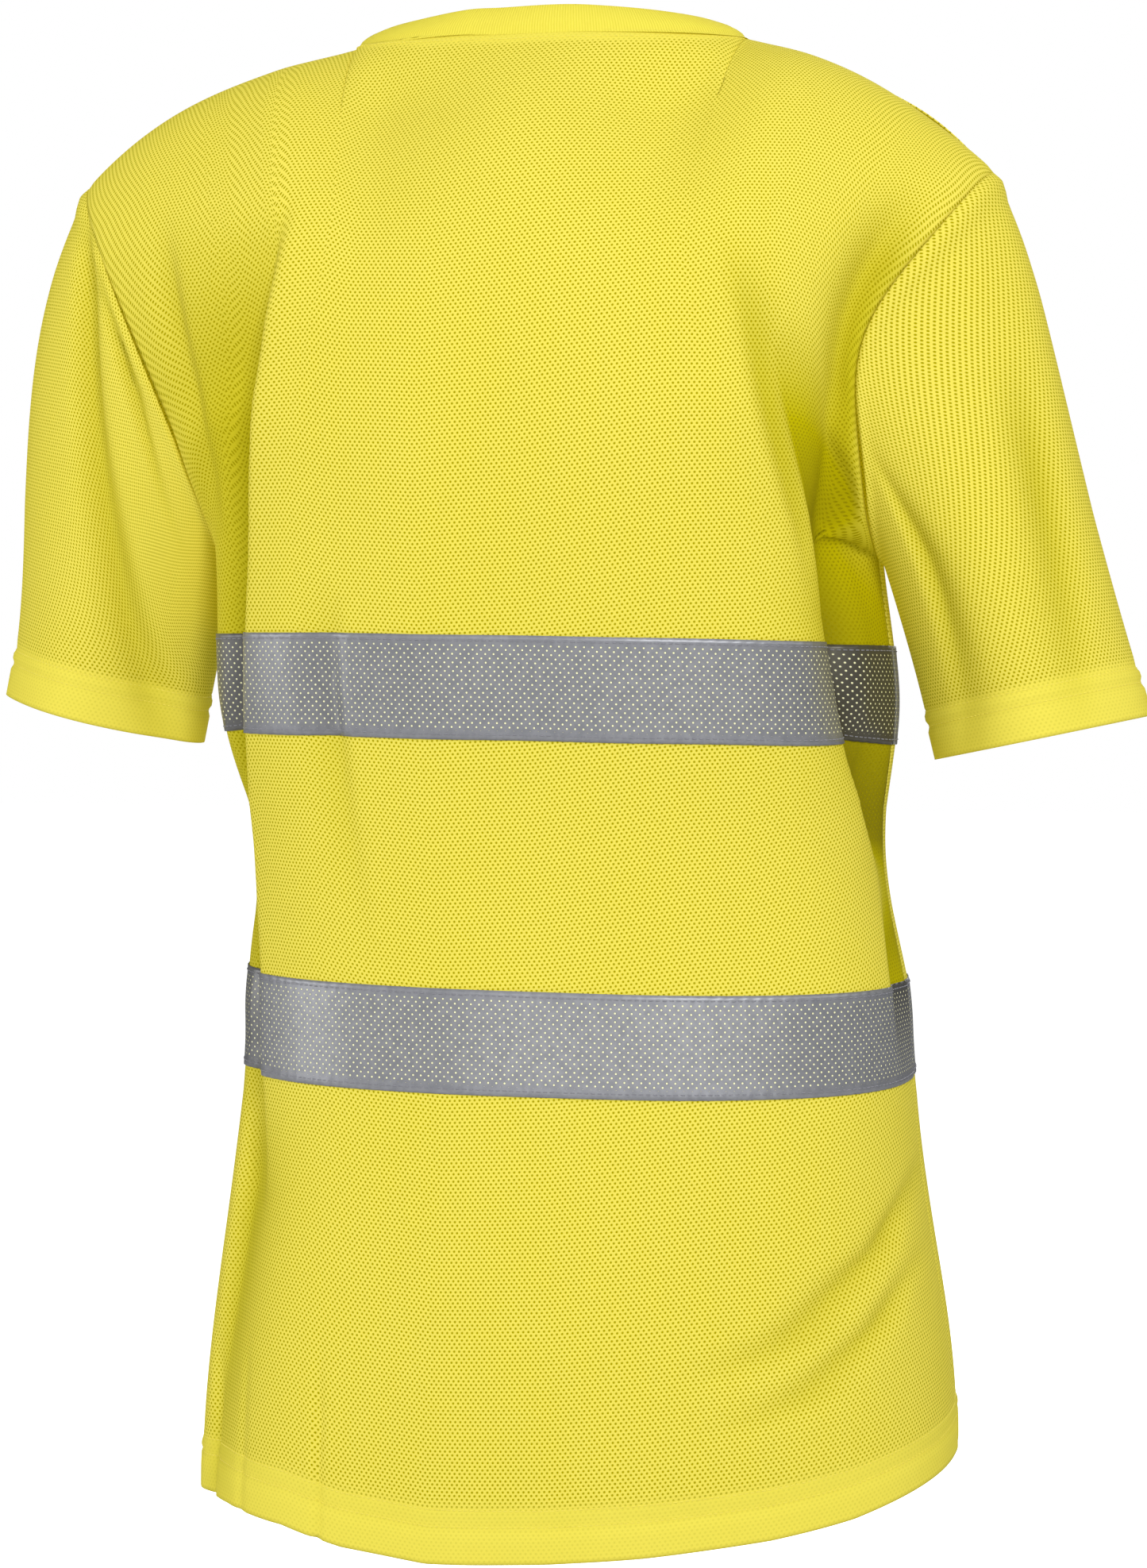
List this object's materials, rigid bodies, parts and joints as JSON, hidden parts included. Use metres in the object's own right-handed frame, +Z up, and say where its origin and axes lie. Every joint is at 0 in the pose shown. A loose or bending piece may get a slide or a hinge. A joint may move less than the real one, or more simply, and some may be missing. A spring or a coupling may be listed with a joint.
{
  "type": "high visibility t-shirt",
  "caption": "Short-sleeved fluorescent yellow mesh safety T-shirt with ribbed collar, stitched hems and perforated silver reflective tapes round the chest and waist.",
  "frame": {"origin": "midway between the two neck points, where the shoulder seams meet the collar", "axes": "+Z up, the front of the shirt faces -Y, and +X is the wearer's left"},
  "size_m": [0.598, 0.283, 0.7448],
  "materials": {
    "fluorescent_mesh": "matt fluorescent yellow eyelet mesh knit",
    "rib_knit": "matt one-by-one rib knit",
    "neck_binding": "matt plain knit tape",
    "reflective_tape": "satin silver retroreflective glass-bead tape with small round holes",
    "grey_thread": "twisted polyester sewing thread",
    "yellow_thread": "twisted polyester sewing thread",
    "label": "blank white woven label"
  },
  "bodies": {
    "torso": {"back_panel": "fluorescent_mesh", "front_panel": "fluorescent_mesh", "neck_rib": "rib_knit", "neck_tape": "neck_binding", "size_label": "label", "care_label": "label", "upper_tape_back": "reflective_tape", "upper_tape_back_stitch_top": "grey_thread", "upper_tape_back_stitch_bottom": "grey_thread", "upper_tape_front": "reflective_tape", "upper_tape_front_stitch_top": "grey_thread", "upper_tape_front_stitch_bottom": "grey_thread", "lower_tape_back": "reflective_tape", "lower_tape_back_stitch_top": "grey_thread", "lower_tape_back_stitch_bottom": "grey_thread", "lower_tape_front": "reflective_tape", "lower_tape_front_stitch_top": "grey_thread", "lower_tape_front_stitch_bottom": "grey_thread", "hem_stitch_upper": "yellow_thread", "hem_stitch_lower": "yellow_thread", "neck_topstitch": "yellow_thread", "left_side_seam": "yellow_thread", "left_shoulder_seam": "yellow_thread", "left_armhole_seam": "yellow_thread", "right_side_seam": "yellow_thread", "right_shoulder_seam": "yellow_thread", "right_armhole_seam": "yellow_thread"},
    "left_sleeve": {"left_sleeve": "fluorescent_mesh", "left_cuff_stitch_upper": "yellow_thread", "left_cuff_stitch_lower": "yellow_thread", "left_underarm_seam": "yellow_thread"},
    "right_sleeve": {"right_sleeve": "fluorescent_mesh", "right_cuff_stitch_upper": "yellow_thread", "right_cuff_stitch_lower": "yellow_thread", "right_underarm_seam": "yellow_thread"}
  },
  "joints": [
    {"name": "left_sleeve_lift", "type": "hinge", "parent": "torso", "child": "left_sleeve", "pos_m": [0.242, 0.02, -0.068], "axis": [0, -1, 0], "range_deg": [0, 30]},
    {"name": "right_sleeve_lift", "type": "hinge", "parent": "torso", "child": "right_sleeve", "pos_m": [-0.242, 0.02, -0.068], "axis": [0, 1, 0], "range_deg": [0, 30]}
  ]
}
